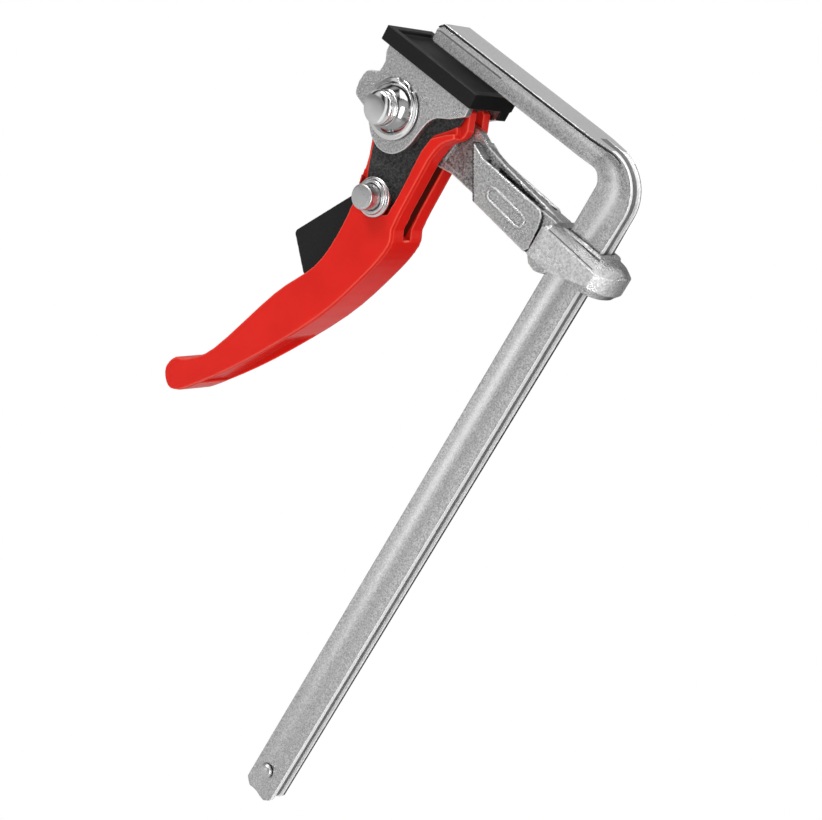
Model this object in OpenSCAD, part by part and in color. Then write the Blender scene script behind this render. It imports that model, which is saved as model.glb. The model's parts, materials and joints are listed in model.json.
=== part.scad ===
/* [Rail] */
// Depth from the rail's inner face to the clamping axis
throat = 60; // [58:1:66]
// Length of the rail from the clamping face down to its foot
rail_length = 228; // [150:1:400]
// Depth of the rail's section, along the throat
rail_depth = 11.4; // [10.8:0.1:11.8]
// Width of the rail's section, across the clamp
rail_width = 7.3; // [6.8:0.1:7.8]
// Width of the fixed arm, which enters a 12 mm guide-rail groove
arm_width = 11.8; // [11:0.1:12]
// Height of the fixed arm
arm_height = 6.2; // [5.6:0.1:6.8]

/* [Sliding arm] */
// Clearance between the rail and the collar on each side
slide_gap = 0.3; // [0.3:0.05:0.5]
// Height of the collar that runs on the rail
collar_height = 10.8; // [10.5:0.1:12.5]
// Width of the arm's two flanges together
beam_width = 10.4; // [9.6:0.1:11]
// Thickness of the tongue that carries the lever
tongue_width = 2.8; // [2.4:0.1:3]

/* [Lever and pad] */
// Width of the lever across both cheeks
lever_width = 15.2; // [14.6:0.1:15.6]
// Length of the pressure pad, along the throat
pad_length = 36.5; // [34:0.5:40]
// Width of the pressure pad
pad_width = 20.6; // [19:0.1:22]
// Number of ratchet teeth on the sector
tooth_count = 9; // [6:1:9]

/* [Hidden] */
$fn = 64;
eps = 0.01;

// Rail: the upright bar's faces and the radii of its bend.
bar_in = throat;
bar_out = throat + rail_depth;
bend_in = 4;
bend_out = 13;
arm_tip = -6;
tip_chamfer = 1.6;
tip_edge = 0.8;
foot_chamfer = 2;
groove_depth = 0.5;
groove_width = 2.2;
side_groove_depth = 0.4;
side_groove_in = 3.2;
side_groove_width = 5;
groove_top = -16;
arm_line_depth = 0.3;
arm_lines = [[3.9, 0.5], [5.1, 0.5]];

// Stop rivet through the foot of the rail.
stop_x = 65;
stop_z = -rail_length + 9;
stop_r = 2.3;
stop_shank_r = 1.5;
stop_head = 1.3;

// Collar and beam of the sliding arm.
collar_top = -18.2;
collar_bottom = collar_top - collar_height;
collar_half = 9.1;
collar_corner = 7.5;
collar_in = throat - 4.9;
collar_out = bar_out + 8.6;
collar_bevel = 2.2;
root_inset = 1.2;
flange_thick = 0.9;
pocket_depth = 0.4;

// Lever pivot and trigger pivot.
pivot_x = -4.5;
pivot_z = -21.3;
pivot_r = 3.5;
bush_r = 4.6;
trigger_x = 2.85;
trigger_z = -45.9;
trigger_r = 3.75;
running_gap = 0.05;
plain_end = 13.9;
washer_r = 5.85;
washer_height = 2;

// Layers outwards from the middle plane.
slot_half = tongue_width / 2 + 0.35;
plate_in = 5.2;
plate_out = 6.1;
cheek_in = 6.4;
cheek_out = 8.8;
nose_half = 4.9;
window_half = 5;
hollow_half = 6.4;
edge_step = 0.35;
edge_depth = 1.1;
cap_in = 9.1;
cap_bore = 3;
cap_r = 8.8;
cap_nose_r = 4.9;
cap_nose_end = 8.1;
notch_r = 0.9;
notch_angles = [75, 105];

// Ratchet sector on the end of the tongue.
tooth_r = 13;
tooth_depth = 0.9;
tooth_step = 6;
tooth_flank = 0.8;
sector_start = -101;
pawl_gap = 0.3;
pawl_half = 1.3;
pawl_boss_r = 5.6;
trigger_half = 4.6;
dowel_x = 4;
dowel_z = -24.4;
dowel_r = 1;
pawl_rivet_r = 0.9;
pawl_rivet_places = [[-2.4, -56], [-3.6, -60.6]];

// Pad and the carrier below it.
pad_top = -2.75;
pad_bottom = -7.2;
bridge_bottom = -8.6;
tray_depth = 1.2;
tray_rim = 2.2;
bridge_end = 12.8;
carrier_up = 3.6;
carrier_down = 2.7;
pad_rivet_r = 1.4;
pad_rivet_top = -4.8;
pad_rivet_x = [-3, 9];
lip_thick = 0.6;
lip_bottom = -10;
lip_in = 5.3;
lip_out = 9.5;

function arc(cx, cz, r, a0, a1, n = 12) =
  [for (i = [0:n]) [cx + r * cos(a0 + (a1 - a0) * i / n), cz + r * sin(a0 + (a1 - a0) * i / n)]];

// Smooth curve through all but the first and last of the given points.
function bend_through(p, n = 4) = concat(
  [for (i = [1:len(p) - 3]) for (k = [0:n - 1]) let (t = k / n)
    (2 * p[i] + (p[i + 1] - p[i - 1]) * t + (2 * p[i - 1] - 5 * p[i] + 4 * p[i + 1] - p[i + 2]) * t * t
      + (3 * p[i] - 3 * p[i + 1] + p[i + 2] - p[i - 1]) * t * t * t) / 2],
  [p[len(p) - 2]]);

// Extrudes an outline drawn in X and Z between two distances towards the front (-Y).
module slab(y0, y1) {
  translate([0, y1, 0]) rotate([90, 0, 0]) linear_extrude(y1 - y0) children();
}

// A round bar across the clamp, centred on the middle plane.
module cross_pin(x, z, r, y0, y1) {
  translate([x, y1, z]) rotate([90, 0, 0]) cylinder(r = r, h = y1 - y0);
}

// Rail: bar, bend and fixed arm in one bent length.
module rail_side() {
  polygon(concat(
    [[bar_out, -rail_length + foot_chamfer], [bar_out, -bend_out + arm_height]],
    arc(bar_out - bend_out, arm_height - bend_out, bend_out, 0, 90),
    [[arm_tip + tip_chamfer, arm_height], [arm_tip, arm_height - tip_chamfer],
     [arm_tip, tip_edge], [arm_tip + tip_edge, 0]],
    arc(bar_in - bend_in, -bend_in, bend_in, 90, 0),
    [[bar_in, -rail_length + foot_chamfer], [bar_in + foot_chamfer, -rail_length],
     [bar_out - foot_chamfer, -rail_length]]));
}

// The bar widens sideways into the arm through the bend.
module rail_front() {
  w = rail_width / 2;
  a = arm_width / 2;
  side = concat([[w, -rail_length - 1], [w, -9], [w + 0.4, -5], [w + 1.3, -1], [a - 0.3, 2.2],
    [a, 3.2], [a, arm_height + eps]]);
  polygon(concat(side, [for (i = [len(side) - 1:-1:0]) [-side[i][0], side[i][1]]]));
}

module rail_grooves() {
  run = rail_length + groove_top;
  foot = -rail_length - 1;
  // Narrow groove along the outer face, between two lands.
  translate([bar_out - groove_depth, -groove_width / 2, foot])
    cube([2 * groove_depth, groove_width, run]);
  for (side = [-1, 1]) {
    // Broad shallow groove along each wide face.
    translate([bar_in + side_groove_in, side * (rail_width / 2 + 1 - side_groove_depth) - 1, foot])
      cube([side_groove_width, 2, run]);
    // Fine lines along each edge of the fixed arm.
    for (line = arm_lines)
      translate([arm_tip - 1, side * (arm_width / 2 + 1 - arm_line_depth) - 1, line[0]])
        cube([bar_in - arm_tip - 3, 2, line[1]]);
  }
}

module rail() {
  color("silver") difference() {
    intersection() {
      slab(-arm_width, arm_width) rail_side();
      translate([arm_tip - 1, 0, 0]) rotate([90, 0, 90])
        linear_extrude(bar_out - arm_tip + 2) rail_front();
    }
    rail_grooves();
    cross_pin(stop_x, stop_z, stop_shank_r, -rail_width, rail_width);
  }
}

module stop_rivet() {
  face = rail_width / 2;
  color("silver") {
    cross_pin(stop_x, stop_z, stop_shank_r, -face, face);
    for (side = [-1, 1]) {
      translate([stop_x, side * face, stop_z]) rotate([-side * 90, 0, 0])
        rotate_extrude() polygon([[0, 0], [stop_r, 0], [stop_r, stop_head * 0.4],
          [stop_r * 0.8, stop_head * 0.75], [stop_r * 0.4, stop_head], [0, stop_head + 0.1]]);
    }
  }
}

// Sliding arm: collar, beam and tongue cast in one.
module collar_outline(inset) {
  half = collar_half - inset;
  long = collar_out - collar_in - 2 * inset;
  side = collar_half - collar_corner;
  translate([collar_in + inset, -half]) square([long - collar_corner + inset, 2 * half]);
  translate([collar_in + inset, -side]) square([long, 2 * side]);
  for (y = [-side, side])
    translate([collar_out - collar_corner, y]) circle(r = collar_corner - inset);
}

// Ring with stepped, rounded-looking edges round the rail's passage.
module collar() {
  for (step = [[1, 0], [0.55, 0.2], [0.2, 0.55], [0, 1]])
    translate([0, 0, collar_bottom + collar_bevel * step[1]])
      linear_extrude(collar_height - 2 * collar_bevel * step[1])
        collar_outline(collar_bevel * step[0]);
}

// Outline of the two flanges, from the sloped shoulder to the step before the collar.
module beam_side() {
  polygon([[20.8, -15.2], [26.4, -17.2], [49.9, -18.2], [51.4, -19.4], [52.3, -22.6],
    [52.8, -29], [51.8, -30.6], [30.2, -28.8]]);
}

// Root between the flanges and the collar, with the heel below it.
module root_side() {
  polygon([[40, -18], [58, -18.6], [58, -29.6], [61, -29.6], [61.2, -30.8], [59.6, -32.6],
    [57, -33.4], [54.4, -32.8], [52.6, -30.8], [40, -29.6]]);
}

// Tongue, carried on as a web between the flanges up to the collar.
module tongue_side() {
  polygon(concat(
    arc(pivot_x, pivot_z, 7.4, 205, 70, 14),
    [[8, -14.2], [15, -13], [19.5, -13], [24, -14.8], [31, -16], [38, -16.7], [50, -17.8],
     [57, -18.4], [57, -26], [32, -28.8], [18, -28],
     [9, -29.6], [4.5, -27], [-2.5, -27.6]]));
}

// Triangular pocket in each face of the tongue, at the root of the beam.
module tongue_pocket() {
  polygon([[14.6, -18], [19.2, -22.2], [21.4, -26.6], [13.8, -26.4]]);
}

module sliding_arm() {
  half = beam_width / 2;
  channel = half - flange_thick - tongue_width / 2;
  color("silver") difference() {
    union() {
      collar();
      slab(-half, half) beam_side();
      slab(-half + root_inset, half - root_inset) root_side();
      slab(-tongue_width / 2, tongue_width / 2) tongue_side();
    }
    // Passage for the rail.
    translate([bar_in - slide_gap, -rail_width / 2 - slide_gap, collar_bottom - 5])
      cube([rail_depth + 2 * slide_gap, rail_width + 2 * slide_gap, collar_height + 10]);
    for (side = [-1, 1]) {
      translate([0, side * (tongue_width / 2 + 1 - pocket_depth), 0]) slab(-1, 1) tongue_pocket();
      // Channel between the web and each flange, shallower towards the collar.
      translate([0, side * (tongue_width / 2 + channel / 2), 0]) slab(-channel / 2, channel / 2)
        polygon([[22, -10], [51, -10], [50, -18.6], [42, -19.8], [30, -21.4]]);
    }
    cross_pin(pivot_x, pivot_z, pivot_r, -half, half);
    slab(-half, half) sector_seat();
    cross_pin(dowel_x, dowel_z, dowel_r, -half, half);
  }
}

// The hardened sector sits in a step below the pivot and is held by a dowel.
module sector_seat() {
  polygon([[-8.4, -24.6], [-2.5, -25.8], [2, -25.8], [2, -22.2], [6.4, -22.2],
    [6.4, -40], [-12, -40], [-12, -26]]);
}

function tooth(i) = let (a = sector_start + i * tooth_step)
  [[pivot_x + tooth_r * cos(a), pivot_z + tooth_r * sin(a)],
   [pivot_x + (tooth_r - tooth_depth) * cos(a + tooth_flank),
    pivot_z + (tooth_r - tooth_depth) * sin(a + tooth_flank)],
   [pivot_x + (tooth_r - tooth_depth) * cos(a + 2 * tooth_flank),
    pivot_z + (tooth_r - tooth_depth) * sin(a + 2 * tooth_flank)]];

module sector_side() {
  last = sector_start + tooth_count * tooth_step;
  difference() {
    polygon(concat(
      [for (i = [0:tooth_count - 1]) each tooth(i)],
      [[pivot_x + tooth_r * cos(last), pivot_z + tooth_r * sin(last)],
       [6.3, -22.3], [2.1, -22.3], [2.1, -25.9], [-2.5, -25.9], [-7.6, -25]]));
    translate([dowel_x, dowel_z]) circle(r = dowel_r);
  }
}

module ratchet_sector() {
  color("dimgray") slab(-tongue_width / 2, tongue_width / 2) sector_side();
}

module sector_dowel() {
  color("silver") cross_pin(dowel_x, dowel_z, dowel_r, -tongue_width / 2, tongue_width / 2);
}

// Pivot: pin through the tongue, with a push-on cap at each end.
module pivot_pin() {
  color("silver") cross_pin(pivot_x, pivot_z, pivot_r, -cap_in - cap_bore, cap_in + cap_bore);
}

module cap_profile() {
  polygon(concat(
    [[0, cap_bore], [pivot_r, cap_bore], [pivot_r, 0], [cap_r - 0.25, 0], [cap_r, 0.25],
     [cap_r, 0.6], [cap_r - 0.35, 0.85]],
    arc(0.1, -1.2, 7.6, 16, 47, 8),
    [[cap_nose_r, 4.6], [cap_nose_r, cap_nose_end - 1.2], [cap_nose_r - 0.4, cap_nose_end - 0.6],
     [cap_nose_r - 1.5, cap_nose_end - 0.25], [cap_nose_r / 3, cap_nose_end - 0.05],
     [0, cap_nose_end]]));
}

module cap(side) {
  color("gainsboro") difference() {
    translate([pivot_x, side * cap_in, pivot_z]) rotate([-side * 90, 0, 0])
      rotate_extrude() cap_profile();
    // Two notches in the rim, left by the assembly tool.
    for (a = notch_angles)
      cross_pin(pivot_x + cap_r * cos(a), pivot_z + cap_r * sin(a), notch_r, -cap_r - cap_in, cap_r + cap_in);
  }
}

module pivot_cap_near() {
  cap(-1);
}

module pivot_cap_far() {
  cap(1);
}

// Lever: head with two cheeks and a slot, neck and hollow curved handle.
module lever_side() {
  polygon(concat(
    arc(pivot_x, pivot_z, 8, 200, 60, 16),
    [[7, -15.2], [12.4, -13.8], [13.2, -11], [13.8, -9.6], [14.8, -9.1], [16, -9.6], [18, -14],
     [18, -16]],
    bend_through([[18.5, -14], [17.4, -17.4], [14.4, -21], [13, -27], [12.8, -34]], 3),
    [[12.9, -44]],
    bend_through([[12.9, -46], [13.2, -50], [14.9, -55], [12.4, -66.5], [4.6, -87.5],
      [-11.4, -115.8], [-25.5, -136], [-30.6, -141.2], [-34.6, -141.2], [-37.6, -137.6],
      [-36.4, -132.6], [-31.6, -129.4], [-24.2, -119.6], [-13.3, -91], [-5, -75], [-3, -62],
      [-3.6, -50], [-6.6, -38]]),
    [[-6.6, -37.8], [-9.4, -30.6]]));
}

// Part of the head where the carrier's cheeks and the side plates lie.
module recess_side() {
  polygon([[-14, -38.8], [-7.6, -38.8], [-4.4, -43.6], [-2.6, -50], [2.8, -52], [9.4, -47.5],
    [9.6, -41], [9.4, -26.2], [10.2, -21.6], [13.8, -18.2], [17.4, -15.4], [24, -15.4],
    [24, -4], [-14, -4]]);
}

module plate_side() {
  polygon([[-2.6, -12.2], [5.6, -14.4], [12.4, -13.4], [14, -11.6], [15.6, -11.6],
    [15.4, -14.2], [13.2, -17], [9.6, -20.9], [8.7, -26], [8.7, -41], [8.4, -46], [2.8, -51],
    [-2.2, -46], [-5, -40], [-7.4, -33], [-11, -26], [-10, -15], [-6, -12.6]]);
}

module trigger_window() {
  polygon([[-30, -46.5], [-5, -47], [8, -53], [9.6, -58], [8.2, -66], [5.2, -76], [1.4, -85.5],
    [-5.5, -88.6], [-30, -86]]);
}

module hand_hollow() {
  polygon([[0.6, -96.4], [4, -93], [10, -98], [-20, -136], [-24.2, -132.8], [-17, -120.5],
    [-9, -106.5]]);
}

module lever_handle() {
  half = lever_width / 2;
  color("red") difference() {
    union() {
      slab(-half + edge_depth, half - edge_depth) lever_side();
      // The outer layer of each cheek is a little narrower, in place of a rounded edge.
      intersection() {
        slab(-half, half) translate([edge_step, 0]) lever_side();
        slab(-half, half) translate([-edge_step, 0]) lever_side();
      }
    }
    // Head slot, from the nose down to its round lower end.
    slab(-slot_half, slot_half)
      polygon([[-20, -4], [30, -4], [30, -53], [9, -53], [-1, -51.4], [-20, -48]]);
    for (side = [-1, 1]) {
      // Recess for the carrier and, one step deeper, for the side plate.
      translate([0, side * (plate_out + 2), 0]) slab(-2, 2) recess_side();
      translate([0, side * (plate_in + 2), 0]) slab(-2, 2) plate_side();
      // The nose is narrower than the head.
      translate([0, side * (nose_half + 3), 0]) slab(-3, 3)
        polygon([[13.8, -4], [26, -4], [26, -17.4], [17, -17.2], [15.2, -14.6], [13.8, -13.6]]);
    }
    slab(-window_half, window_half) trigger_window();
    slab(-hollow_half, hollow_half) hand_hollow();
    cross_pin(pivot_x, pivot_z, bush_r, -half, half);
    cross_pin(trigger_x, trigger_z, trigger_r, -half, half);
  }
}

module lever_bushes() {
  length = plate_in - slot_half;
  color("darkgoldenrod") for (side = [-1, 1])
    translate([0, side * (slot_half + length / 2), 0]) difference() {
      cross_pin(pivot_x, pivot_z, bush_r, -length / 2, length / 2);
      cross_pin(pivot_x, pivot_z, pivot_r + running_gap, -length, length);
    }
}

module side_plate(side) {
  y = side * (plate_in + plate_out) / 2;
  t = (plate_out - plate_in) / 2;
  color("dimgray") difference() {
    slab(y - t, y + t) plate_side();
    cross_pin(pivot_x, pivot_z, bush_r + 0.2, -10, 10);
    cross_pin(trigger_x, trigger_z, trigger_r, -10, 10);
  }
}

module side_plate_near() {
  side_plate(-1);
}

module side_plate_far() {
  side_plate(1);
}

// Pin of the trigger: a round head behind the far cheek, a plain end in front.
module trigger_pin() {
  head_at = lever_width / 2 + running_gap;
  color("silver") {
    cross_pin(trigger_x, trigger_z, trigger_r, -plain_end, head_at);
    translate([trigger_x, head_at, trigger_z]) rotate([-90, 0, 0])
      rotate_extrude()
        polygon([[0, 0], [washer_r, 0], [washer_r, 1.2], [washer_r - 0.7, 1.9], [0, 1.9]]);
  }
}

// Push-on washer with a raised collar that locks the pin's plain end.
module lock_washer() {
  color("silver") translate([trigger_x, -lever_width / 2 - running_gap, trigger_z])
    rotate([90, 0, 0]) rotate_extrude()
      polygon([[trigger_r, 0], [washer_r, 0], [washer_r, 0.9], [washer_r - 0.5, 1.2],
        [washer_r - 0.9, washer_height], [trigger_r, washer_height]]);
}

// Release trigger with the pawl on its inner arm.
module trigger_side() {
  polygon(concat(
    [[-2.3, -50.2], [-6.6, -51.6]],
    arc(-17.4, -72.2, 1.2, 150, 230, 6),
    arc(-8.6, -79.8, 1.2, 230, 320, 6),
    [[-3, -75], [1.6, -66], [4.6, -58.6], [5.6, -54.6]]));
}

module release_trigger() {
  color("black") difference() {
    slab(-trigger_half, trigger_half) trigger_side();
    slab(-pawl_half, pawl_half) pawl_side();
    pawl_rivet_holes();
  }
}

// Steel pawl: tooth tip, boss round the pin, and a tail riveted into the trigger.
module pawl_side() {
  tip = sector_start + 16;
  reach = tooth_r + pawl_gap;
  difference() {
    polygon(concat(
      [[pivot_x + reach * cos(tip), pivot_z + reach * sin(tip)],
       [pivot_x + reach * cos(tip + 5), pivot_z + reach * sin(tip + 5)], [3, -39.6]],
      arc(trigger_x, trigger_z, pawl_boss_r, 60, -45, 10),
      [[1, -61], [-2, -63.4], [-6, -63.4], [-7.4, -60]],
      arc(trigger_x, trigger_z, pawl_boss_r, 215, 165, 8), [[-5.2, -38]]));
    translate([trigger_x, trigger_z]) circle(r = trigger_r + running_gap);
  }
}

module pawl_rivet_holes() {
  for (p = pawl_rivet_places)
    cross_pin(p[0], p[1], pawl_rivet_r, -5, 5);
}

module pawl() {
  color("dimgray") difference() {
    slab(-pawl_half, pawl_half) pawl_side();
    pawl_rivet_holes();
  }
}

module pawl_rivets() {
  color("silver") for (p = pawl_rivet_places)
    cross_pin(p[0], p[1], pawl_rivet_r, -trigger_half, trigger_half);
}

// Carrier: two cheeks joined by a bridge below the pad.
module cheek_side() {
  polygon(concat(
    [[17.2, pad_bottom], [17.4, -10.2], [13.4, -13.4]],
    bend_through([[14, -13], [9.7, -15.4], [7.7, -18], [6.7, -21.5], [6.1, -25], [5, -28.4],
      [2.8, -31.4], [0, -33], [-3.4, -33.4], [-7, -32], [-9.6, -29.8], [-12.6, -26.8], [-14, -25.6]], 3),
    bend_through([[-13, -26], [-17.6, -25.6], [-19.1, -24.2], [-19.5, -21], [-18.6, -17.4],
      [-14.8, -15.5], [-14, -15.5]], 3),
    [[-14.6, -12], [-15.9, -9.4], [-16, pad_bottom]]));
}

module pad_carrier() {
  hole_r = pivot_r + running_gap;
  color("silver") difference() {
    union() {
      slab(-cheek_out, -cheek_in) cheek_side();
      slab(cheek_in, cheek_out) cheek_side();
      slab(-cheek_out, cheek_out) polygon([[-15.9, bridge_bottom], [-15.9, pad_bottom],
        [bridge_end, pad_bottom], [bridge_end, bridge_bottom]]);
    }
    pad_rivet_holes();
    // Upright slots that let the carrier rise past the pivot pin.
    cross_pin(pivot_x, pivot_z + carrier_up, hole_r, -10, 10);
    cross_pin(pivot_x, pivot_z - carrier_down, hole_r, -10, 10);
    translate([pivot_x - hole_r, -10, pivot_z - carrier_down])
      cube([2 * hole_r, 20, carrier_up + carrier_down]);
  }
}

// Pad with a sunken tray, and a lip at its inner end on the far side.
module pressure_pad() {
  color("#202020") difference() {
    union() {
      translate([-pad_length / 2, -pad_width / 2, pad_bottom])
        cube([pad_length, pad_width, pad_top - pad_bottom]);
      translate([pad_length / 2 - lip_thick, lip_in, lip_bottom])
        cube([lip_thick, lip_out - lip_in, pad_bottom - lip_bottom + eps]);
    }
    translate([-pad_length / 2 + tray_rim, -pad_width / 2 + tray_rim, pad_top - tray_depth])
      cube([pad_length - 2 * tray_rim, pad_width - 2 * tray_rim, 2 * tray_depth]);
    pad_rivet_holes();
  }
}

// Blind holes from below, through the bridge and into the pad.
module pad_rivet_holes() {
  for (x = pad_rivet_x)
    translate([x, 0, bridge_bottom - 1]) cylinder(r = pad_rivet_r, h = pad_rivet_top - bridge_bottom + 1);
}

// Two drive rivets that hold the pad on the bridge from below.
module pad_rivets() {
  color("silver") for (x = pad_rivet_x)
    translate([x, 0, bridge_bottom]) cylinder(r = pad_rivet_r, h = pad_rivet_top - bridge_bottom);
}

rail();
stop_rivet();
sliding_arm();
ratchet_sector();
sector_dowel();
pivot_pin();
pivot_cap_near();
pivot_cap_far();
lever_handle();
lever_bushes();
side_plate_near();
side_plate_far();
trigger_pin();
lock_washer();
release_trigger();
pawl();
pawl_rivets();
pad_carrier();
pressure_pad();
pad_rivets();
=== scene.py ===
import json
import math

import bmesh
import bpy
from mathutils import Matrix, Vector


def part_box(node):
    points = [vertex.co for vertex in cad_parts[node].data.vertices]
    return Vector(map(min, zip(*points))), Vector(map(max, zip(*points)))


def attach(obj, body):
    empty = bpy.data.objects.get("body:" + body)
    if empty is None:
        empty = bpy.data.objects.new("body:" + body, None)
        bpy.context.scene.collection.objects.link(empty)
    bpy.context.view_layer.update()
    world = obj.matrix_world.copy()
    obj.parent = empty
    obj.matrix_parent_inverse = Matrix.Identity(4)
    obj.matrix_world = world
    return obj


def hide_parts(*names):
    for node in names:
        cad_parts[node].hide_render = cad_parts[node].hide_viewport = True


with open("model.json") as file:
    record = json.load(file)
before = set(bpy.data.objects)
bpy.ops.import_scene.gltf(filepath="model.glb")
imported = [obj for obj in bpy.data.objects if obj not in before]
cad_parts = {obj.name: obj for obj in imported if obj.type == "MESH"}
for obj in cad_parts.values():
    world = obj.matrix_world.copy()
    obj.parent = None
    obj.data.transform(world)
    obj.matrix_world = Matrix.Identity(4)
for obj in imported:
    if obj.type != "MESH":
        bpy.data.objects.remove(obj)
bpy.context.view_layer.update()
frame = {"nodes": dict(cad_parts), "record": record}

MM = 0.001


# ---------------------------------------------------------------- materials

# Texture scales, in cells per metre.
ROLLED_GRAIN = 2300
CAST_GRAIN = 1700
SCRATCHES = 900


def new_material(name):
    """A principled material with its node tree, shader and object coordinates."""
    material = bpy.data.materials.new(name)
    material.use_nodes = True
    tree = material.node_tree
    shader = tree.nodes["Principled BSDF"]
    coords = tree.nodes.new("ShaderNodeTexCoord").outputs["Object"]
    return material, tree, shader, coords


def stretched(tree, coords, scale):
    """Object coordinates scaled by a different amount along each axis."""
    mapping = tree.nodes.new("ShaderNodeMapping")
    mapping.inputs["Scale"].default_value = scale
    tree.links.new(coords, mapping.inputs["Vector"])
    return mapping.outputs["Vector"]


def noise(tree, vector, scale, detail=3.0, roughness=0.55):
    """A noise texture's value, between 0 and 1."""
    node = tree.nodes.new("ShaderNodeTexNoise")
    node.inputs["Scale"].default_value = scale
    node.inputs["Detail"].default_value = detail
    node.inputs["Roughness"].default_value = roughness
    tree.links.new(vector, node.inputs["Vector"])
    return node.outputs["Fac"]


def ramp(tree, value, stops):
    """A colour ramp from (position, grey or colour) stops."""
    node = tree.nodes.new("ShaderNodeValToRGB")
    elements = node.color_ramp.elements
    while len(elements) < len(stops):
        elements.new(0.5)
    for element, (position, colour) in zip(elements, stops):
        if isinstance(colour, (int, float)):
            colour = (colour, colour, colour)
        element.position = position
        element.color = (*colour, 1)
    tree.links.new(value, node.inputs["Fac"])
    return node.outputs["Color"]


def bumped(tree, shader, layers):
    """Chains bump nodes from (height socket, distance in metres, strength) layers."""
    normal = None
    for height, distance, strength in layers:
        node = tree.nodes.new("ShaderNodeBump")
        node.inputs["Distance"].default_value = distance
        node.inputs["Strength"].default_value = strength
        tree.links.new(height, node.inputs["Height"])
        if normal:
            tree.links.new(normal, node.inputs["Normal"])
        normal = node.outputs["Normal"]
    tree.links.new(normal, shader.inputs["Normal"])


def paint_crevice_shade(tree, colour, reach, floor, shader):
    """Painted shade: darkens a colour where neighbouring surfaces close in, as shadow falls there."""
    near = tree.nodes.new("ShaderNodeAmbientOcclusion")
    near.samples = 8
    near.inputs["Distance"].default_value = reach
    shade = ramp(tree, near.outputs["AO"], [(0.15, floor), (0.75, 1.0)])
    mix = tree.nodes.new("ShaderNodeMixRGB")
    mix.blend_type = "MULTIPLY"
    mix.inputs["Fac"].default_value = 1
    tree.links.new(colour, mix.inputs["Color1"])
    tree.links.new(shade, mix.inputs["Color2"])
    tree.links.new(mix.outputs["Color"], shader.inputs["Base Color"])


def paint_edge_light_and_hollow_shade(tree, colour, hollow, edge, low, high):
    """Paints light and shade into a colour: towards the hollow tint in concave places as painted shade, and
    towards the edge tint on convex ones as a painted highlight.
    """
    shape = tree.nodes.new("ShaderNodeNewGeometry")
    concave = [(low, 1.0), (0.495, 0.0)]
    convex = [(0.505, 0.0), (high, 1.0)]
    for shade, stops in ((hollow, concave), (edge, convex)):
        mix = tree.nodes.new("ShaderNodeMixRGB")
        tree.links.new(ramp(tree, shape.outputs["Pointiness"], stops), mix.inputs["Fac"])
        tree.links.new(colour, mix.inputs["Color1"])
        mix.inputs["Color2"].default_value = (*shade, 1)
        colour = mix.outputs["Color"]
    return colour


def rail_nickel():
    """Drawn and plated steel, fine speckle, with a lighter tone painted along the shallow hollow as a
    highlight band, and painted shade in its crevices.
    """
    material, tree, shader, coords = new_material("rail_nickel")
    drawn = stretched(tree, coords, (1, 1, 0.05))
    lines = noise(tree, drawn, 1500, 4)
    cloud = noise(tree, coords, 90, 2)
    grain = noise(tree, coords, ROLLED_GRAIN, 2, 0.8)
    # Painted highlight: a lighter tone along the band, standing in for a light's reflection.
    highlight_band = tree.nodes.new("ShaderNodeAttribute")
    highlight_band.attribute_name = "highlight_band"
    tone = tree.nodes.new("ShaderNodeMixRGB")
    tree.links.new(highlight_band.outputs["Fac"], tone.inputs["Fac"])
    tree.links.new(ramp(tree, grain, [(0.33, 0.36), (0.66, 0.78)]), tone.inputs["Color1"])
    tree.links.new(ramp(tree, grain, [(0.3, 0.86), (0.6, 1.0)]), tone.inputs["Color2"])
    paint_crevice_shade(tree, tone.outputs["Color"], 0.0012, 0.05, shader)
    tree.links.new(ramp(tree, cloud, [(0.25, 0.22), (0.8, 0.32)]), shader.inputs["Roughness"])
    shader.inputs["Metallic"].default_value = 1
    bumped(tree, shader, [(lines, 0.00003, 0.5), (grain, 0.00012, 0.7)])
    return material


def rail_top_painted_grey():
    """The fixed arm's upper face: the same grain on a flat, barely metallic grey, painted on so that the face
    shows a lit tone where the metal reflected dark.
    """
    material, tree, shader, coords = new_material("rail_top_painted_grey")
    grain = noise(tree, coords, ROLLED_GRAIN, 2, 0.8)
    cloud = noise(tree, coords, 90, 2)
    tree.links.new(ramp(tree, grain, [(0.3, 0.36), (0.7, 0.44)]), shader.inputs["Base Color"])
    tree.links.new(ramp(tree, cloud, [(0.3, 0.5), (0.7, 0.6)]), shader.inputs["Roughness"])
    shader.inputs["Metallic"].default_value = 0.2
    bumped(tree, shader, [(grain, 0.00006, 0.5)])
    return material


def cast_zinc(name, dark, light, edge_shading=False, metallic=1.0):
    """Blasted and plated casting: a coarse speckle from dark to light over a pitted surface, with painted
    shade in crevices and, when asked, painted highlights on edges and painted shade in hollows.
    """
    material, tree, shader, coords = new_material(name)
    grain = noise(tree, coords, CAST_GRAIN, 2, 0.8)
    cloud = noise(tree, coords, 130, 3)
    colour = ramp(tree, grain, [(0.32, dark), (0.68, light)])
    # Painted highlights on convex edges and painted shade in concave places.
    if edge_shading:
        colour = paint_edge_light_and_hollow_shade(tree, colour, (0.03, 0.03, 0.03), (0.95, 0.95, 0.95), 0.44, 0.56)
    paint_crevice_shade(tree, colour, 0.0016, 0.04, shader)
    tree.links.new(ramp(tree, cloud, [(0.3, 0.24), (0.75, 0.36)]), shader.inputs["Roughness"])
    shader.inputs["Metallic"].default_value = metallic
    bumped(tree, shader, [(grain, 0.0003, 0.9), (cloud, 0.0006, 0.4)])
    return material


def painted_shade_material(name, dark, light):
    """Painted shade: a dark flat material laid in narrow grooves and deep corners, where shade falls."""
    material, tree, shader, coords = new_material(name)
    film = noise(tree, coords, 1200, 3)
    cloud = noise(tree, coords, 500, 2)
    tree.links.new(ramp(tree, film, [(0.3, dark), (0.7, light)]), shader.inputs["Base Color"])
    tree.links.new(ramp(tree, cloud, [(0.3, 0.5), (0.7, 0.7)]), shader.inputs["Roughness"])
    return material


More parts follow.
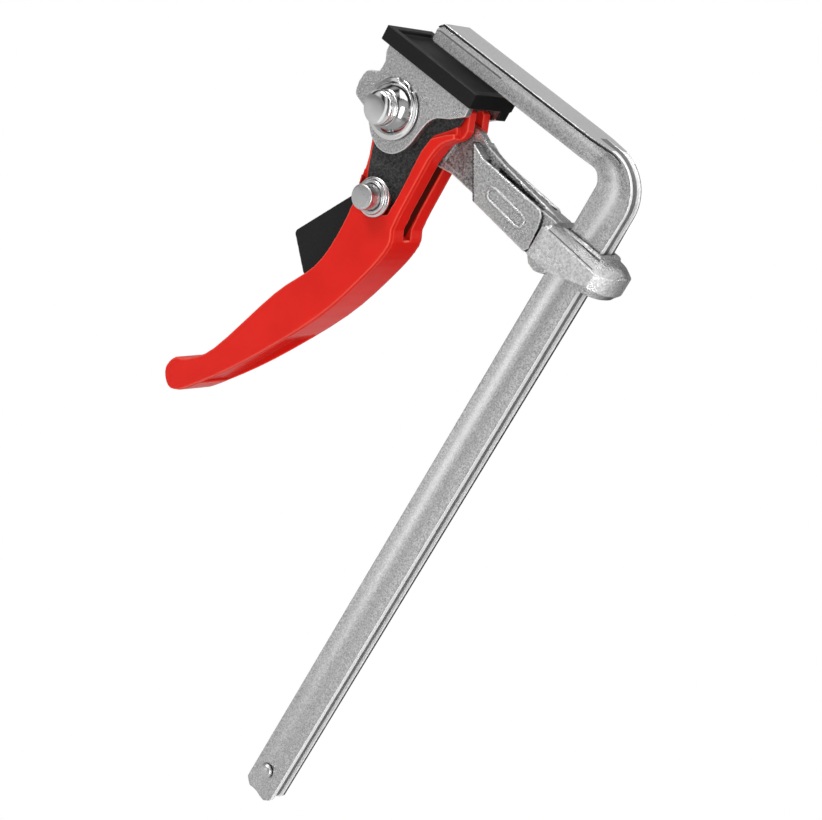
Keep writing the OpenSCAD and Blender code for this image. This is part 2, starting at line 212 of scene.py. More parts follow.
def coated_red(name, strength):
    """Glossy red coating, with painted shade in the hollows and crevices and a paler painted highlight over
    edges.
    """
    material, tree, shader, coords = new_material(name)
    cloud = noise(tree, coords, 60, 2)
    deep, full = (0.70 * strength, 0.012, 0.008), (0.78 * strength, 0.016, 0.010)
    hollow, edge = (0.25 * strength, 0.005, 0.003), (0.95 * strength, 0.14, 0.09)
    colour = ramp(tree, cloud, [(0.3, deep), (0.7, full)])
    colour = paint_edge_light_and_hollow_shade(tree, colour, hollow, edge, 0.42, 0.58)
    paint_crevice_shade(tree, colour, 0.002, 0.12, shader)
    peel = noise(tree, coords, 900, 2)
    fine = noise(tree, coords, 5000, 2)
    tree.links.new(ramp(tree, fine, [(0.3, 0.30), (0.7, 0.40)]), shader.inputs["Roughness"])
    shader.inputs["Specular IOR Level"].default_value = 0.4
    shader.inputs["Specular Tint"].default_value = (1, 0.42, 0.32, 1)
    bumped(tree, shader, [(peel, 0.00005, 0.35)])
    return material


def grained_plastic(name, dark, light, rough, scale, depth):
    """Moulded plastic with a speckle and a cell texture of one scale, pressed in to a depth in metres."""
    material, tree, shader, coords = new_material(name)
    cells = tree.nodes.new("ShaderNodeTexVoronoi")
    cells.inputs["Scale"].default_value = scale
    tree.links.new(coords, cells.inputs["Vector"])
    speck = noise(tree, coords, scale, 2, 0.7)
    sheen = noise(tree, coords, scale * 1.3, 2)
    tree.links.new(ramp(tree, speck, [(0.35, dark), (0.7, light)]), shader.inputs["Base Color"])
    tree.links.new(ramp(tree, sheen, [(0.3, rough - 0.06), (0.7, rough + 0.06)]), shader.inputs["Roughness"])
    shader.inputs["Specular IOR Level"].default_value = 0.3
    bumped(tree, shader, [(cells.outputs["Distance"], depth, 0.6)])
    return material


def bright_metal(name, tone, rough):
    """Smooth machined or plated metal with fine scratches."""
    material, tree, shader, coords = new_material(name)
    cloud = noise(tree, coords, 300, 2)
    tree.links.new(ramp(tree, cloud, [(0.3, tone - 0.04), (0.7, tone)]), shader.inputs["Base Color"])
    scratches = noise(tree, coords, SCRATCHES, 4)
    tree.links.new(ramp(tree, scratches, [(0.3, rough), (0.7, rough * 1.6)]), shader.inputs["Roughness"])
    shader.inputs["Metallic"].default_value = 1
    bumped(tree, shader, [(scratches, 0.00002, 0.3)])
    return material


rail_metal = rail_nickel()
rail_top_grey = rail_top_painted_grey()
cast_metal = cast_zinc("cast_zinc", 0.34, 0.82)
# The arm's casting also takes painted edge highlights and painted hollow shade.
arm_metal = cast_zinc("arm_zinc", 0.36, 0.82, True)
# Darker, less metallic copy of the casting, painted on the tongue as the shade between the lever's cheeks.
tongue_shade = cast_zinc("tongue_shade_zinc", 0.05, 0.50, True, 0.3)
cast_shade = cast_zinc("cast_shade", 0.03, 0.14)
# Collar top painted darker and collar wall painted lighter, in place of how light falls on each.
collar_top_shade = cast_zinc("collar_top_shade", 0.30, 0.52)
collar_wall_light = cast_zinc("collar_wall_light", 0.50, 0.98, metallic=0.75)
# Painted shade for grooves, creases and groove floors.
groove_shade = painted_shade_material("groove_shade", 0.012, 0.05)
groove_floor_shade = painted_shade_material("groove_floor_shade", 0.08, 0.17)
# Near-white painted highlight for the lands beside the grooves.
land_highlight = cast_zinc("land_highlight", 0.93, 1.0, metallic=0.15)
# Darker copy of the red, painted inside the lever's slot as shade.
slot_shade_red = coated_red("slot_shade_red", 0.16)
red_paint = coated_red("lever_red", 1)
plate_plastic = grained_plastic("plate_plastic", 0.012, 0.07, 0.6, 1700, 0.0003)
black_plastic = grained_plastic("black_plastic", 0.004, 0.008, 0.4, 2500, 0.00004)
chrome = bright_metal("chrome_plate", 0.80, 0.07)
chrome_shade = bright_metal("chrome_shade", 0.42, 0.1)
pin_metal = bright_metal("pin_metal", 0.66, 0.24)
washer_metal = bright_metal("washer_metal", 0.72, 0.18)
tool_steel = bright_metal("tool_steel", 0.38, 0.35)
bronze = bright_metal("bronze", 0.5, 0.3)

NODE_MATERIALS = {
    "rail": rail_metal, "stop_rivet": pin_metal, "sliding_arm": cast_metal,
    "ratchet_sector": tool_steel, "sector_dowel": pin_metal, "pivot_pin": pin_metal,
    "pivot_cap_near": chrome, "pivot_cap_far": chrome, "lever_handle": red_paint,
    "lever_bushes": bronze, "side_plate_near": plate_plastic, "side_plate_far": plate_plastic,
    "trigger_pin": pin_metal, "lock_washer": washer_metal, "release_trigger": black_plastic,
    "pawl": tool_steel, "pawl_rivets": pin_metal, "pad_carrier": cast_metal,
    "pressure_pad": black_plastic, "pad_rivets": pin_metal,
}
for node_name, material in NODE_MATERIALS.items():
    node = frame["nodes"][node_name]
    node.data.materials.clear()
    node.data.materials.append(material)


# ---------------------------------------------------------------- shaping tools

def body_of_node(node):
    """Name of the moving body that a CAD node belongs to."""
    return next(body for body, nodes in frame["record"]["behaviour"]["bodies"].items() if node in nodes)


def add_piece(name, mesh, node, material, stands_for=()):
    """Links a mesh as a piece that rides with a node's body and stands for nodes."""
    piece = bpy.data.objects.new(name, mesh)
    bpy.context.scene.collection.objects.link(piece)
    mesh.materials.clear()
    mesh.materials.append(material)
    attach(piece, body_of_node(node))
    if stands_for:
        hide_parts(*stands_for)
    return piece


def applied(piece):
    """Bakes a piece's modifiers into its mesh."""
    graph = bpy.context.evaluated_depsgraph_get()
    mesh = bpy.data.meshes.new_from_object(piece.evaluated_get(graph))
    piece.modifiers.clear()
    piece.data = mesh
    for face in mesh.polygons:
        face.use_smooth = True
    return piece


def box_object(low, high):
    """A plain block between two corners in millimetres, used only as a cutter."""
    mesh = bpy.data.meshes.new("cutter")
    work = bmesh.new()
    bmesh.ops.create_cube(work, size=1)
    for vert in work.verts:
        vert.co = [(low[i] + (vert.co[i] + 0.5) * (high[i] - low[i])) * MM for i in range(3)]
    work.to_mesh(mesh)
    work.free()
    cutter = bpy.data.objects.new("cutter", mesh)
    bpy.context.scene.collection.objects.link(cutter)
    return cutter


def softened(name, node, voxel, rounds, material, without=None):
    """A node's own shape, less a block, with the rounded edges of a casting or a moulding."""
    source = frame["nodes"][node]
    mesh = source.data.copy()
    mesh.transform(source.matrix_world)
    piece = add_piece(name, mesh, node, material, [node])
    if without:
        cutter = box_object(*without)
        cut = piece.modifiers.new("cut", "BOOLEAN")
        cut.operation = "DIFFERENCE"
        cut.object = cutter
        applied(piece)
        bpy.data.objects.remove(cutter)
    skin = piece.modifiers.new("skin", "REMESH")
    skin.mode = "VOXEL"
    skin.voxel_size = voxel * MM
    soften = piece.modifiers.new("soften", "SMOOTH")
    soften.factor = 0.5
    soften.iterations = rounds
    return applied(piece)


def mesh_from(name, points, faces):
    """A smooth-shaded mesh from points in millimetres, with its normals outwards."""
    mesh = bpy.data.meshes.new(name)
    mesh.from_pydata([Vector(p) * MM for p in points], [], faces)
    work = bmesh.new()
    work.from_mesh(mesh)
    bmesh.ops.remove_doubles(work, verts=work.verts, dist=0.000001)
    bmesh.ops.recalc_face_normals(work, faces=work.faces)
    work.to_mesh(mesh)
    work.free()
    for face in mesh.polygons:
        face.use_smooth = True
    return mesh


def skin_of(rings, joined=False):
    """Points and faces between rings of equal length, with the ends capped, or joined to each other."""
    count = len(rings[0])
    points = [p for ring in rings for p in ring]
    last = (len(rings) - 1) * count
    starts = [(a * count, (a + 1) * count) for a in range(len(rings) - 1)] + [(last, 0)] * joined
    steps = [(i, (i + 1) % count) for i in range(count)]
    faces = [(a + i, a + k, b + k, b + i) for a, b in starts for i, k in steps]
    caps = [] if joined else [tuple(range(count)), tuple(range(last, last + count))]
    return points, faces + caps


def smooth_step(x, low, high):
    """Rises smoothly from 0 at low to 1 at high."""
    t = min(1, max(0, (x - low) / (high - low)))
    return t * t * (3 - 2 * t)


def arc_points(cx, cz, r, start, end, steps):
    """Points (x, z) on an arc, with angles in degrees."""
    angles = [math.radians(start + (end - start) * i / steps) for i in range(steps + 1)]
    return [(cx + r * math.cos(a), cz + r * math.sin(a)) for a in angles]


def blend_values(x, knots):
    """Steps smoothly through (position, value) knots."""
    value = knots[0][1]
    for (low, _), (high, after) in zip(knots, knots[1:]):
        value += (after - value) * smooth_step(x, low, high) if x > low else 0
    return value


def sharpen(piece, width, angle=24):
    """A fine bevel on the edges that turn by more than the angle, with flat faces between."""
    edges = piece.modifiers.new("edges", "BEVEL")
    edges.width = width * MM
    edges.segments = 2
    edges.limit_method = "ANGLE"
    edges.angle_limit = math.radians(angle)
    weigh = piece.modifiers.new("weigh", "WEIGHTED_NORMAL")
    weigh.keep_sharp = True
    return applied(piece)


def tint(piece, material, inside):
    """Gives another material to the faces whose centres, in millimetres, pass the test."""
    piece.data.materials.append(material)
    for face in piece.data.polygons:
        if inside(face.center / MM):
            face.material_index = len(piece.data.materials) - 1


# ---------------------------------------------------------------- sizes, in millimetres

def box_of(node):
    """Low and high corners of a CAD node."""
    return [[round(c / MM, 3) for c in corner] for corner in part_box(node)]


def joint_of(name):
    """A joint's row in the record."""
    return next(joint for joint in frame["record"]["behaviour"]["joints"] if joint["name"] == name)


def axis_of(name):
    """Place (x, z) of a hinge's axis, which runs across the clamp."""
    x, _, z = joint_of(name)["pos_m"]
    return round(x / MM, 3), round(z / MM, 3)


def middle_of(node):
    """Middle (x, z) of a CAD node."""
    low, high = box_of(node)
    return (low[0] + high[0]) / 2, (low[2] + high[2]) / 2


(TIP, _, FOOT), (BAR_OUT, ARM_HALF, ARM_HEIGHT) = box_of("rail")
THROAT = 60
BAR_HALF = 3.65
BEND_IN, BEND_OUT = 4, 13

# The collar starts at COLLAR_IN and ends in half an oval with half sizes END_LONG and END_WIDE.
COLLAR_IN = 55.1
_, (COLLAR_END, COLLAR_HALF, _) = box_of("sliding_arm")
END_LONG = 8.5
END_WIDE = 10.2
END_CENTRE = COLLAR_END - END_LONG

PIVOT = axis_of("lever_squeeze")
TRIGGER_AT = axis_of("trigger_press")
STOP_AT = middle_of("stop_rivet")
CAP_FACE = box_of("pivot_cap_far")[0][1]


# ---------------------------------------------------------------- rail

# Places of the faces in half a section of the rail, counted from the middle of the inner face.
SIDE_LINE, EDGE_LINE = 10, 14
OUTER_ROUND, OUTER_BAND, LAND, GROOVE_WALL, GROOVE_FLOOR = range(17, 22)


def rail_section(depth, half, outer_half, on_arm):
    """Half of the rail's section, from the inner face's middle to the outer face's: (depth, y) points."""
    hollow = 0.45 * (1 - 0.75 * on_arm)
    shares = (0.12, 0.2, 0.28, 0.35, 0.42, 0.49, 0.56, 0.64, 0.72)
    dish = [(f * depth, half - hollow * (1 - ((f - 0.42) / 0.3) ** 2)) for f in shares]
    sunk = 0.8 * (1 - on_arm)
    line = 0.55 * on_arm

    def on(bar, arm):
        return bar + (arm - bar) * on_arm

    side = [(0, 0), (0, half - 0.35), (0.1, half - 0.1), (0.35, half)] + dish + [
        (depth - on(1.2, 0.95), half), (depth - on(1.1, 0.85), half - line),
        (depth - on(0.6, 0.4), half - line), (depth - on(0.4, 0.3), half),
        (depth - on(0.1, 0.08), half - on(0.08, 0.06)), (depth, half - on(0.3, 0.18))]
    # The outer side is drawn narrower where the bend stretches it.
    lean = [(d, y * (1 + (outer_half / half - 1) * smooth_step(d / depth, 0.3, 1))) for d, y in side]
    return lean + [(depth, 2.35), (depth, 1.75), (depth - sunk, 1.65), (depth - sunk, 0)]


def rail_stations():
    """Pairs of (inner, outer) points (x, z) along the rail, from its foot to the arm's tip."""
    foot = [((THROAT + cut, FOOT + up), (BAR_OUT - cut, FOOT + up))
            for cut, up in ((2, 0), (0.5, 1.3), (0, 2))]
    bar = [((THROAT, z), (BAR_OUT, z)) for z in (-190, -150, -115, -80, -50, -30, -18, -12, -9)]
    inner = arc_points(THROAT - BEND_IN, -BEND_IN, BEND_IN, 0, 90, 28)
    outer = arc_points(BAR_OUT - BEND_OUT, ARM_HEIGHT - BEND_OUT, BEND_OUT, 0, 90, 28)
    arm = [((x, 0), (x, ARM_HEIGHT)) for x in (53, 48, 40, 20, 0, TIP + 2)]
    tip = [((TIP + 0.8, 0), (TIP + 1.6, ARM_HEIGHT)), ((TIP + 0.2, 0.3), (TIP + 0.6, 5.3)),
           ((TIP, 0.8), (TIP, 4.6))]
    return foot + bar + list(zip(inner, outer)) + arm + tip


def paint_rail(piece, stations, count):
    """Painted shade in the groove and in the arm's edge lines, and painted highlights on the lands beside the
    groove.
    """
    # Slots: painted shade, darker painted shade for groove floors, painted highlight for lands.
    shade_slot, floor, land = 1, 2, 3
    arm_above, line_end = 5, 24
    for extra in (groove_shade, groove_floor_shade, land_highlight):
        piece.data.materials.append(extra)
    for ring, (_, outer) in enumerate(stations[:-1]):
        on_arm = outer.z > arm_above
        slots = {GROOVE_FLOOR: floor, OUTER_BAND: land, LAND: land, GROOVE_WALL: land}
        if on_arm:
            slots[EDGE_LINE] = shade_slot
        else:
            slots[OUTER_ROUND] = land
        if on_arm and outer.x < line_end:
            slots[SIDE_LINE] = floor
        for place in range(count):
            face = piece.data.polygons[ring * count + place]
            face.material_index = slots.get(min(place, count - place - 1), 0)
            # Off the arm, the far side's outer band takes painted shade instead of the highlight.
            if place == count - OUTER_BAND - 1 and not on_arm:
                face.material_index = shade_slot


def paint_highlight_band(piece, rings, stations):
    """Marks how strongly each point takes the painted highlight band, most along the middle of the hollow and
    near the bend.
    """
    highlight_band = piece.data.attributes.new("highlight_band", "FLOAT", "POINT")
    for ring, (inner, outer) in enumerate(stations):
        depth = (outer - inner).length
        on_arm = smooth_step(BAR_OUT - outer.x, 4, 22)
        peak = 0.33 + 0.2 * smooth_step(outer.z, -40, -8) + 0.2 * on_arm
        strength = (1 - 0.45 * on_arm) * (1 - 0.85 * smooth_step(-outer.z, 60, 230))
        for i, point in enumerate(rings[ring]):
            d = (point - inner).dot((outer - inner) / depth) / depth
            highlight_band.data[ring * len(rings[ring]) + i].value = strength * math.exp(-((d - peak) / 0.12) ** 2)


def add_rail():
    """Bent rail, lofted from its foot to the arm's tip, with a wider and plainer section on the arm."""
    rings = []
    stations = [(Vector((a, 0, b)), Vector((c, 0, d))) for (a, b), (c, d) in rail_stations()]
    # Middle of the bend's outer arc, from which distances along the rail are counted.
    corner = BEND_OUT * 0.29
    bend_at = Vector((BAR_OUT - corner, 0, ARM_HEIGHT - corner))
    for inner, outer in stations:
        depth = (outer - inner).length
        across = (outer - inner) / depth
        past = (outer - bend_at).length * (1 if outer.z - bend_at.z > outer.x - bend_at.x else -1)
        half = blend_values(past, [(-14, BAR_HALF), (0, 4.3), (16, ARM_HALF)])
        outer_half = blend_values(past, [(-22, BAR_HALF), (-9, 2.9), (3, 2.9), (18, ARM_HALF)])
        section = rail_section(depth, half, outer_half, smooth_step(past, 2, 14))
        near = [inner + across * d + Vector((0, -y, 0)) for d, y in section]
        far = [Vector((p.x, -p.y, p.z)) for p in near[-2:0:-1]]
        rings.append(near + far)
    piece = add_piece("rail_bar", mesh_from("rail_bar", *skin_of(rings)), "rail", rail_metal, ["rail"])
    # Painted shade in the grooves, painted highlights on the lands and a painted highlight band along the
    # hollow.
    paint_rail(piece, stations, len(rings[0]))
    paint_highlight_band(piece, rings, stations)
    sharpen(piece, 0.05)
    flat_end = BAR_OUT - BEND_OUT + 2
    # Flat grey painted on the arm's upper face in place of its dark reflections.
    tint(piece, rail_top_grey, lambda p: p.z > ARM_HEIGHT - 0.04 and p.x < flat_end)


# ---------------------------------------------------------------- caps, pins and washer

# Radius at the floor of a cap's notches, and half of the angle that each takes up, in degrees.
NOTCH_R = 7.9
NOTCH_HALF = 6


def lathe(name, profile, centre, node, material, stands_for, joined=False, notches=()):
    """Turned piece across the clamp: profile points are (radius, distance towards the front)."""
    rings = []
    for radius, height in profile:
        ring = []
        for i in range(96):
            angle = math.tau * i / 96
            notched = any(abs(math.degrees(angle) - at) < NOTCH_HALF for at in notches)
            r = min(radius, NOTCH_R) if notched else radius
            ring.append((centre[0] + r * math.cos(angle), -height, centre[1] + r * math.sin(angle)))
        rings.append(ring)
    piece = add_piece(name, mesh_from(name, *skin_of(rings, joined)), node, material, stands_for)
    return sharpen(piece, 0.06, 30)


NOSE_R = 4.9
NOSE_END = 8.1


def cap_profile():
    """Flange, dome and blunt nose of a pivot cap, outwards from its seat."""
    flange = [(4, 0), (8.5, 0), (8.75, 0.12), (8.8, 0.35), (8.75, 0.6), (8.4, 0.78), (7.75, 0.8), (7.5, 0.9)]
    dome = arc_points(0.1, -1.2, 7.6, 17, 47, 12)
    neck = [(5.0, 4.45), (NOSE_R, 4.6), (4.88, 5.2), (NOSE_R, 6.6)]
    turns = [math.radians(a) for a in range(8, 90, 8)]
    nose = [(NOSE_R * math.cos(a) ** 0.6, NOSE_END - 1.2 + 1.2 * math.sin(a)) for a in turns]
    return flange + dome + neck + nose + [(0.6, NOSE_END), (0.05, NOSE_END)]


def add_caps():
    """Domed caps on both ends of the pivot pin, with two notches in the flange and a dome painted darker,
    standing in for its dark reflections.
    """
    for side, label in ((1, "near"), (-1, "far")):
        node = "pivot_cap_" + label
        placed = [(r, side * (CAP_FACE + h)) for r, h in cap_profile()]
        cap = lathe("cap_dome_" + label, placed, PIVOT, node, chrome, [node], notches=(72, 102))
        # Darker chrome painted on the dome ring as its dark reflections.
        tint(cap, chrome_shade, lambda p: 5.02 < math.hypot(p.x - PIVOT[0], p.z - PIVOT[1]) < 7.3)


def add_pins():
    """Trigger pin with its far head, the push-on washer, and the stop rivet."""
    lathe("trigger_pin_turned",
          [(0.05, -9.5), (4.9, -9.5), (5.5, -9.3), (5.8, -8.8), (5.8, -7.7), (3.75, -7.65), (3.75, 13.3),
           (3.66, 13.6), (3.4, 13.82), (3.0, 13.9), (0.05, 13.86)],
          TRIGGER_AT, "trigger_pin", pin_metal, ["trigger_pin"])
    lathe("washer_pressed",
          [(3.78, 7.66), (5.85, 7.66), (5.85, 8.2), (5.75, 8.5), (5.5, 8.65), (5.15, 8.75), (5.0, 9.0),
           (4.9, 9.4), (4.65, 9.62), (4.3, 9.65), (4.0, 9.55), (3.85, 9.2), (3.78, 8.6)],
          TRIGGER_AT, "lock_washer", washer_metal, ["lock_washer"], joined=True)
    head = [(2.3, 0), (2.3, 0.35), (2.2, 0.75), (1.9, 1.05), (1.4, 1.25), (0.7, 1.37), (0.05, 1.4)]
    shank = [(r, -BAR_HALF - h) for r, h in head[::-1]] + [(1.5, -BAR_HALF), (1.5, BAR_HALF)]
    lathe("stop_rivet_head", shank + [(r, BAR_HALF + h) for r, h in head], STOP_AT, "stop_rivet", pin_metal,
          ["stop_rivet"])


# ---------------------------------------------------------------- collar of the arm

# Half sizes of the passage for the rail.
PASSAGE_LONG = 6
PASSAGE_WIDE = 3.95


def ring_reaches(angles, half_x, half_y):
    """Distances from the middle of a rectangle to its outline, along rays at the given angles."""
    return [min(half_x / max(abs(math.cos(a)), 0.001), half_y / max(abs(math.sin(a)), 0.001)) for a in angles]


def collar_reach(angle, inset, centre):
    """Distance from the rail to the collar's outline: straight sides and a broad rounded end."""
    c, s = math.cos(angle), math.sin(angle)
    side = (COLLAR_HALF - inset) / max(abs(s), 0.001)
    if c < 0:
        return min(side, (centre - COLLAR_IN - min(inset, 1.4)) / -c)
    if centre + side * c < END_CENTRE + 1:
        return side
    a, b, back = END_LONG - inset, END_WIDE - inset, centre - END_CENTRE
    p, q, r = (c / a) ** 2 + (s / b) ** 2, back * c / a ** 2, (back / a) ** 2 - 1
    return min(side, (math.sqrt(q * q - p * r) - q) / p)


def add_collar():
    """Collar of the arm: domed top, upright wall, fine ledges below its end and the rail's passage."""
    centre = (THROAT + BAR_OUT) / 2
    corner = math.atan2(PASSAGE_WIDE, PASSAGE_LONG)
    angles = sorted([math.tau * i / 144 for i in range(144)]
                    + [corner, math.pi - corner, math.pi + corner, math.tau - corner])
    # Each step of the outline is (inset, lift) above the rim or (inset, drop) below the foot.
    lifts = [(4.0, 2.3), (3.2, 2.05), (1.9, 1.4), (0.8, 0.62), (0.62, 0.4), (0.25, 0.18), (0, 0)]
    drops = [(0, 0), (0.15, 0.25), (0.6, 0.3), (0.75, 0.45), (0.8, 1.1), (1.15, 1.2), (1.3, 1.4), (1.35, 2.0),
             (1.9, 2.4)]
    hole = ring_reaches(angles, PASSAGE_LONG, PASSAGE_WIDE)
    inside = 8
    rings = []

    def ring_at(reaches, height):
        places = [(centre + r * math.cos(a), r * math.sin(a)) for r, a in zip(reaches, angles)]
        rings.append([(x, y, height(x, y)) for x, y in places])

    def rim(x, y):
        raised = 1.4 * smooth_step(x, 74, 80) * (1 - abs(y) / COLLAR_HALF)
        return -20.2 - 0.055 * (x - COLLAR_IN) + raised

    def foot(x, y, drop=0):
        return -28.9 + 0.31 * min(max(x - 64, 0), 10.4) - drop * smooth_step(x, 66, 74)

    def on_wall(p):
        return foot(p.x, p.y) < p.z < rim(p.x, p.y) and abs(p.x - centre) + abs(p.y) > inside

    for grow, z in ((0.35, -17.7), (0.9, -17.85), (1.5, -18.35)):
        mouth = ring_reaches(angles, PASSAGE_LONG + grow, PASSAGE_WIDE + grow)
        ring_at(mouth, lambda x, y, z=z: z)
    for inset, lift in lifts:
        ring_at([collar_reach(a, inset, centre) for a in angles], lambda x, y, lift=lift: rim(x, y) + lift)
    for inset, drop in drops:
        ring_at([collar_reach(a, inset, centre) for a in angles], lambda x, y, drop=drop: foot(x, y, drop))
    ring_at(hole, lambda x, y: foot(x, y, 2.4))
    ring_at(hole, lambda x, y: -18.2)
    mesh = mesh_from("collar_casting", *skin_of(rings, True))
    piece = add_piece("collar_casting", mesh, "sliding_arm", cast_metal)
    sharpen(piece, 0.1, 20)
    # Painted shade on the top and in a line along its edge, and a painted lighter tone on the wall.
    tint(piece, collar_top_shade, lambda p: p.z > rim(p.x, p.y) + 0.1)
    tint(piece, groove_shade, lambda p: 0.44 < p.z - rim(p.x, p.y) < 0.6 and p.x < 74)
    tint(piece, collar_wall_light, on_wall)


# ---------------------------------------------------------------- castings and mouldings

VOXEL = 0.25
# Block cut out of the arm, where the collar has its own piece.
COLLAR_SPACE = ((57, -12, -29.4), (90, 12, -10))


def field_rim(name, centre, tilt, length, width, radius, y):
    """Raised rim round the long oval field of a flange, drawn as a closed tube."""
    half = length / 2 - width / 2
    outline = arc_points(half, 0, width / 2, -90, 90, 14) + arc_points(-half, 0, width / 2, 90, 270, 14)
    turn = math.radians(tilt)
    rings = []
    for u, v in outline:
        angle = math.atan2(v, u - max(-half, min(half, u)))
        ring = []
        for k in range(10):
            swing = math.tau * k / 10
            reach = radius * math.cos(swing)
            a, b = u + reach * math.cos(angle), v + reach * math.sin(angle)
            ring.append((centre[0] + a * math.cos(turn) - b * math.sin(turn), y + radius * math.sin(swing),
                         centre[1] + a * math.sin(turn) + b * math.cos(turn)))
        rings.append(ring)
    add_piece(name, mesh_from(name, *skin_of(rings, True)), "sliding_arm", cast_metal)


def in_lever_slot(p):
    """Walls and floor of the slot in the lever's head."""
    return abs(p.y) < 1.95 and -53.6 < p.z < -16 and p.x < 12.3


def in_arm_channel(p):
    """Channels between the web and the two flanges, below their upper edges."""
    return 1.36 < abs(p.y) < 4.25 and 24 < p.x < 50.4 and p.z < -17.2 - (p.x - 26) * 0.055


def on_tongue(p):
    """Tongue between the lever's cheeks, below its upper edge."""
    return abs(p.y) < 1.7 and 12 < p.x < 31 and p.z < -15


def on_flange_front(p):
    """Slanted front edges of the flanges, beside the tongue."""
    past = ((p.x - 20.8) * 13.6 + (p.z + 15.2) * 9.4) / 16.5
    return abs(p.y) > 2 and -0.5 < past < 0.6


def on_flange_step(p):
    """Steps from the flanges out to the collar."""
    return 4.1 < abs(p.y) < 5.05 and p.x > 50.6


def add_lever():
    """Hand lever, with painted shade inside its slot."""
    lever = softened("lever_shell", "lever_handle", VOXEL, 3, red_paint)
    tint(lever, slot_shade_red, in_lever_slot)


def add_arm():
    """Sliding arm without its collar, with painted shade in its channels, on the slanted flange edges, on the
    steps and on the tongue, and an oval rim on each flange.
    """
    arm = softened("arm_casting", "sliding_arm", VOXEL, 3, arm_metal, without=COLLAR_SPACE)
    # Painted shade in the channels, on the tongue, on the slanted flange edges and on the steps.
    tint(arm, cast_shade, in_arm_channel)
    tint(arm, tongue_shade, on_tongue)
    tint(arm, cast_shade, on_flange_front)
    tint(arm, cast_shade, on_flange_step)
    for side, label in ((-1, "near"), (1, "far")):
        field_rim("field_rim_" + label, (40.4, -24.1), -5, 14.5, 3.6, 0.6, side * 5.15)


def add_mouldings():
    """Pad carrier, release trigger and pressure pad."""
    softened("carrier_casting", "pad_carrier", VOXEL, 3, arm_metal)
    softened("trigger_shell", "release_trigger", 0.3, 5, black_plastic)
    softened("pad_shell", "pressure_pad", VOXEL, 3, black_plastic)


add_rail()
add_collar()
add_caps()
add_pins()
add_lever()
add_arm()
add_mouldings()


# ---------------------------------------------------------------- stage, light and camera

def show_to_camera(tree, usual, seen, output):
    """Mixes two shaders, so that the lens meets the second one and every other ray the first."""
    mix = tree.nodes.new("ShaderNodeMixShader")
    path = tree.nodes.new("ShaderNodeLightPath")
    tree.links.new(path.outputs["Is Camera Ray"], mix.inputs["Fac"])
    tree.links.new(usual, mix.inputs[1])
    tree.links.new(seen, mix.inputs[2])
    tree.links.new(mix.outputs["Shader"], output)


# Lowest point of the lever and the arm's travel, in metres.
LEVER_FOOT = -0.147
ARM_TRAVEL = joint_of("arm_slide")["range_m"][1]


def add_floor():
    """Pale paper floor, an even white to the camera, low enough for the lever with the arm slid down."""
    mesh = bpy.data.meshes.new("floor")
    size, height = 6.0, LEVER_FOOT - ARM_TRAVEL - 0.003
    corners = [(-size, -size, height), (size, -size, height), (size, size, height), (-size, size, height)]
    mesh.from_pydata(corners, [], [(0, 1, 2, 3)])
    floor = bpy.data.objects.new("floor", mesh)
    bpy.context.scene.collection.objects.link(floor)
    material, tree, shader, coords = new_material("floor_paper")
    cloud = noise(tree, coords, 3, 2)
    tree.links.new(ramp(tree, cloud, [(0.0, 0.56), (1.0, 0.60)]), shader.inputs["Base Color"])
    shader.inputs["Roughness"].default_value = 0.9
    paper = tree.nodes.new("ShaderNodeEmission")
    paper.inputs["Strength"].default_value = 1.0
    show_to_camera(tree, shader.outputs["BSDF"], paper.outputs["Emission"],
                   tree.nodes["Material Output"].inputs["Surface"])
    mesh.materials.append(material)


def add_area(name, place, target, size, power):
    """A rectangular studio light."""
    light = bpy.data.lights.new(name, "AREA")
    light.shape = "RECTANGLE"
    light.size, light.size_y = size
    light.energy = power
    lamp = bpy.data.objects.new(name, light)
    lamp.location = place
    lamp.rotation_euler = (Vector(target) - Vector(place)).to_track_quat("-Z", "Y").to_euler()
    bpy.context.scene.collection.objects.link(lamp)


def add_world():
    """White behind the object, and a studio of pale walls and dark gaps around it."""
    world = bpy.data.worlds.new("studio")
    world.use_nodes = True
    tree = world.node_tree
    surround = tree.nodes["Background"]
    direction = tree.nodes.new("ShaderNodeTexCoord").outputs["Generated"]
    turn = tree.nodes.new("ShaderNodeMapping")
    turn.inputs["Rotation"].default_value = (0.35, 0.2, 0.5)
    tree.links.new(direction, turn.inputs["Vector"])
    walls = tree.nodes.new("ShaderNodeTexWave")
    walls.bands_direction = "X"
    walls.inputs["Scale"].default_value = 0.55
    walls.inputs["Distortion"].default_value = 0.0
    tree.links.new(turn.outputs["Vector"], walls.inputs["Vector"])
    stops = [(0.18, 0.05), (0.42, 0.5), (0.7, 0.72), (0.95, 1.0)]
    tree.links.new(ramp(tree, walls.outputs["Fac"], stops), surround.inputs["Color"])
    surround.inputs["Strength"].default_value = 0.75
    backdrop = tree.nodes.new("ShaderNodeBackground")
    backdrop.inputs["Color"].default_value = (1, 1, 1, 1)
    backdrop.inputs["Strength"].default_value = 1.0
    show_to_camera(tree, surround.outputs["Background"], backdrop.outputs["Background"],
                   tree.nodes["World Output"].inputs["Surface"])
    bpy.context.scene.world = world


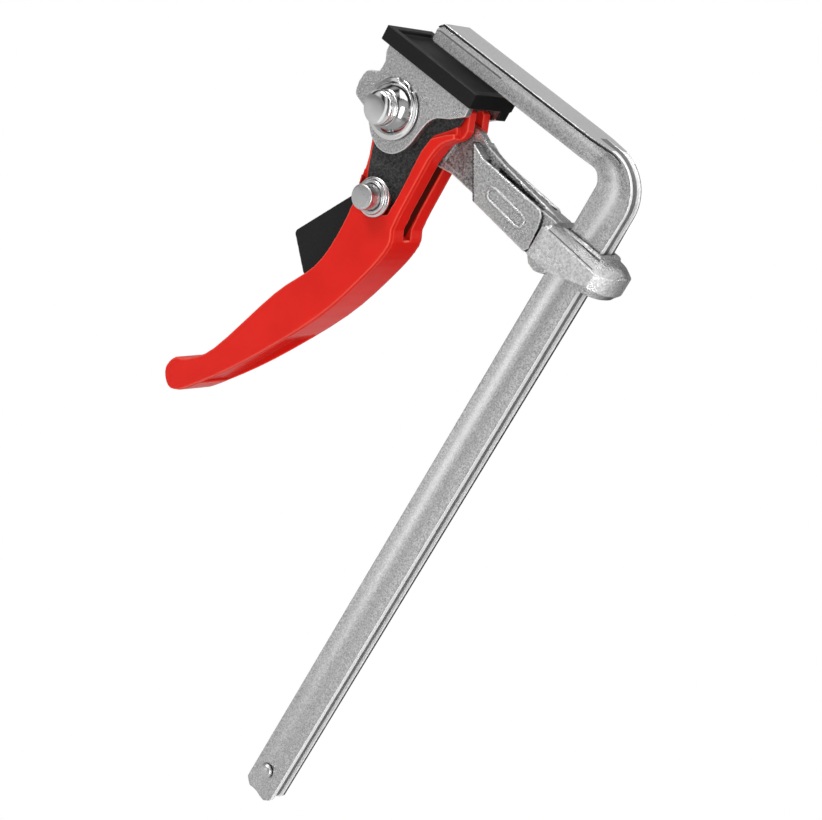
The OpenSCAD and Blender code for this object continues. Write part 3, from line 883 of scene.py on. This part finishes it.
# Place of the camera in metres, the directions of its right side and its back, and its lens.
CAMERA_AT = (0.26415, -0.39866, 0.12204)
CAMERA_RIGHT = (0.6558, 0.6054, 0.4510)
CAMERA_BACK = (0.4383, -0.7917, 0.4255)
LENS, SENSOR = 76.18, 36


def add_camera():
    """Camera above and to the right of the clamp's near face, rolled so that the rail leans."""
    right = Vector(CAMERA_RIGHT).normalized()
    back = Vector(CAMERA_BACK)
    back = (back - right * back.dot(right)).normalized()
    up = back.cross(right)
    data = bpy.data.cameras.new("camera")
    data.sensor_width = SENSOR
    data.lens = LENS
    data.clip_start = 0.01
    camera = bpy.data.objects.new("camera", data)
    turned = Matrix((right, up, back)).transposed().to_4x4()
    camera.matrix_world = Matrix.Translation(CAMERA_AT) @ turned
    bpy.context.scene.collection.objects.link(camera)
    bpy.context.scene.camera = camera


def add_card(name, place, towards, size, strength):
    """A studio card that only lights and reflects, out of the lens's sight."""
    mesh = bpy.data.meshes.new(name)
    a, b = size[0] / 2, size[1] / 2
    mesh.from_pydata([(-a, -b, 0), (a, -b, 0), (a, b, 0), (-a, b, 0)], [], [(0, 1, 2, 3)])
    card = bpy.data.objects.new(name, mesh)
    card.location = place
    card.rotation_euler = (Vector(towards) - Vector(place)).to_track_quat("Z", "Y").to_euler()
    card.visible_camera = False
    bpy.context.scene.collection.objects.link(card)
    material, tree, shader, coords = new_material(name + "_paper")
    glow = tree.nodes.new("ShaderNodeEmission")
    even = [(0.0, strength), (1.0, strength)]
    tree.links.new(ramp(tree, noise(tree, coords, 4, 1), even), glow.inputs["Color"])
    tree.links.new(glow.outputs["Emission"], tree.nodes["Material Output"].inputs["Surface"])
    mesh.materials.append(material)


add_floor()
add_world()
middle = (0.05, 0, -0.1)
add_card("front_card", (-0.03, -0.30, -0.22), middle, (0.10, 0.5), 1.0)
add_card("dark_card", (0.22, 0.35, -0.2), middle, (0.35, 0.4), 0.02)
centre = (0.02, 0, -0.08)
add_area("key", (-0.6, -0.7, 0.7), centre, (0.5, 0.5), 6.2)
add_area("fill", (0.9, -0.5, 0.2), centre, (0.3, 0.9), 5.5)
add_area("top", (0.1, 0.1, 1.0), centre, (0.8, 0.8), 6)
add_camera()
bpy.context.scene.view_settings.view_transform = "Standard"
